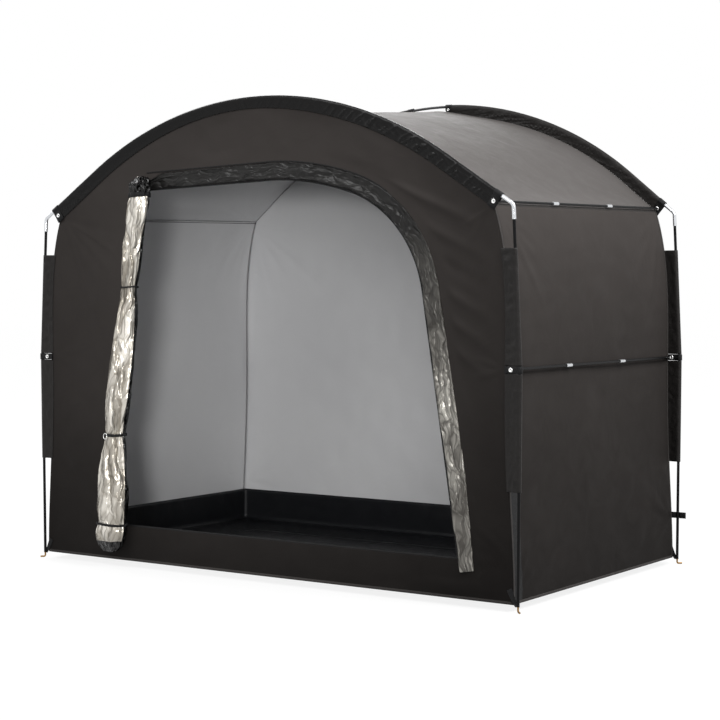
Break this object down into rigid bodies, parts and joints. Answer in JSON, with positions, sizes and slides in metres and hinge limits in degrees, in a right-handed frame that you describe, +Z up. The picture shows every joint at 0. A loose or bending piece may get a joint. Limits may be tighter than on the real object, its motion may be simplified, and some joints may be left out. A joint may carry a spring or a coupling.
{
  "type": "bike storage tent",
  "caption": "Arched pole-frame tent for storing bikes, with fabric walls, a curved roof, a groundsheet and a wide front door rolled up to one side.",
  "frame": {"origin": "on the ground at the middle of the tent's plan", "axes": "+X to the right as seen from the door, +Y from the door to the back, +Z up"},
  "size_m": [2.071, 1.25, 1.7043],
  "materials": {
    "arch_pole": "dark grey coated tube",
    "leg_pole": "satin black powder coat",
    "strut_pole": "satin black fibreglass look",
    "bright_steel": "bright drawn steel",
    "rivet_steel": "pressed bright metal",
    "pin_brass": "zinc-yellow passivated",
    "black_webbing": "woven polypropylene webbing",
    "wall_fabric": "coated woven polyester, dark grey outside, silver inside",
    "sleeve_fabric": "satin black woven polyester",
    "floor_sheet": "coated woven polyethylene",
    "zip_tape": "coil zip on woven tape",
    "silver_lining": "silver-coated woven polyester, creased"
  },
  "bodies": {
    "root": {"front_arch_pole": "arch_pole", "rear_arch_pole": "arch_pole", "front_left_leg": "leg_pole", "front_right_leg": "leg_pole", "rear_left_leg": "leg_pole", "rear_right_leg": "leg_pole", "front_left_elbow": "bright_steel", "front_right_elbow": "bright_steel", "rear_left_elbow": "bright_steel", "rear_right_elbow": "bright_steel", "left_shoulder_strut": "strut_pole", "right_shoulder_strut": "strut_pole", "left_waist_strut": "strut_pole", "right_waist_strut": "strut_pole", "shoulder_ferrules": "bright_steel", "waist_ferrules": "bright_steel", "shoulder_clips": "black_webbing", "waist_clips": "black_webbing", "crown_clips": "black_webbing", "clip_rivets": "rivet_steel", "foot_pins": "pin_brass", "corner_straps": "black_webbing", "rear_leg_tabs": "black_webbing", "front_wall_left": "wall_fabric", "front_wall_right": "wall_fabric", "front_wall_header": "wall_fabric", "front_sill": "wall_fabric", "rear_wall": "wall_fabric", "left_wall": "wall_fabric", "right_wall": "wall_fabric", "roof": "wall_fabric", "groundsheet": "floor_sheet", "front_arch_sleeve": "sleeve_fabric", "rear_arch_sleeve_left": "sleeve_fabric", "rear_arch_sleeve_right": "sleeve_fabric", "front_left_leg_sleeve": "sleeve_fabric", "front_right_leg_sleeve": "sleeve_fabric", "rear_left_leg_sleeve": "sleeve_fabric", "rear_right_leg_sleeve": "sleeve_fabric", "door_zip": "zip_tape", "door_flap": "wall_fabric", "rolled_door": "silver_lining", "door_ties": "black_webbing"}
  },
  "joints": []
}
